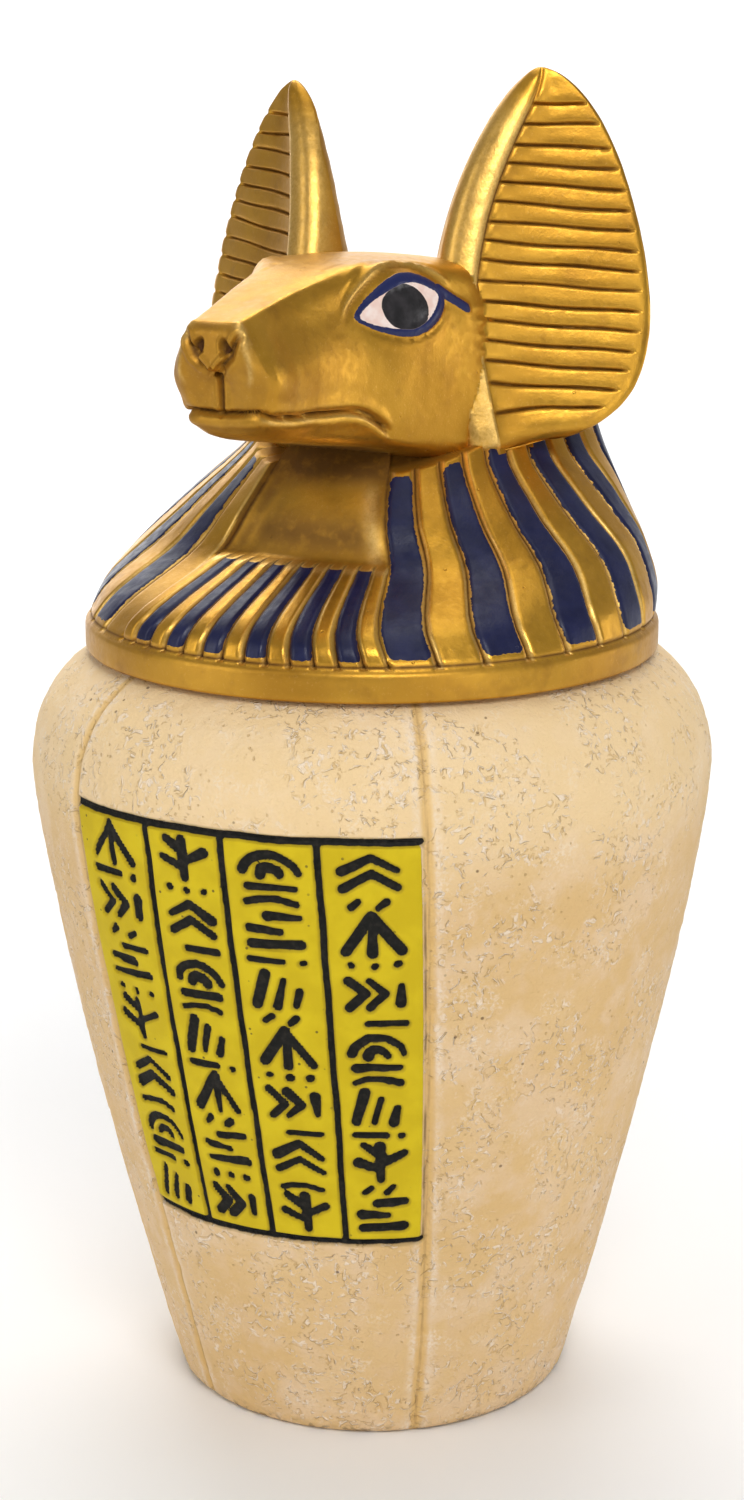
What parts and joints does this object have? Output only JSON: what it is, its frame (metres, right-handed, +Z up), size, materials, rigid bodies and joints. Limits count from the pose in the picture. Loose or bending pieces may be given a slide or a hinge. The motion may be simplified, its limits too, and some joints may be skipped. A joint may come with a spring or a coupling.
{
  "type": "canopic jar",
  "caption": "Cast-resin souvenir canopic jar: tapering hollow jar with an inscribed panel and a loose jackal-headed lid.",
  "frame": {"origin": "centre of the jar's flat foot", "axes": "+Z up along the jar's axis, the inscribed front faces -Y, +X to the viewer's right of it"},
  "size_m": [0.1376, 0.1376, 0.2676],
  "materials": {
    "stone_paint": "sand-cream matt paint over cast resin with a pitted stone texture",
    "gold_paint": "satin metallic gold paint with dark blue stripes over cast resin"
  },
  "bodies": {
    "root": {"jar_body": "stone_paint", "jackal_lid": "gold_paint"}
  },
  "joints": []
}
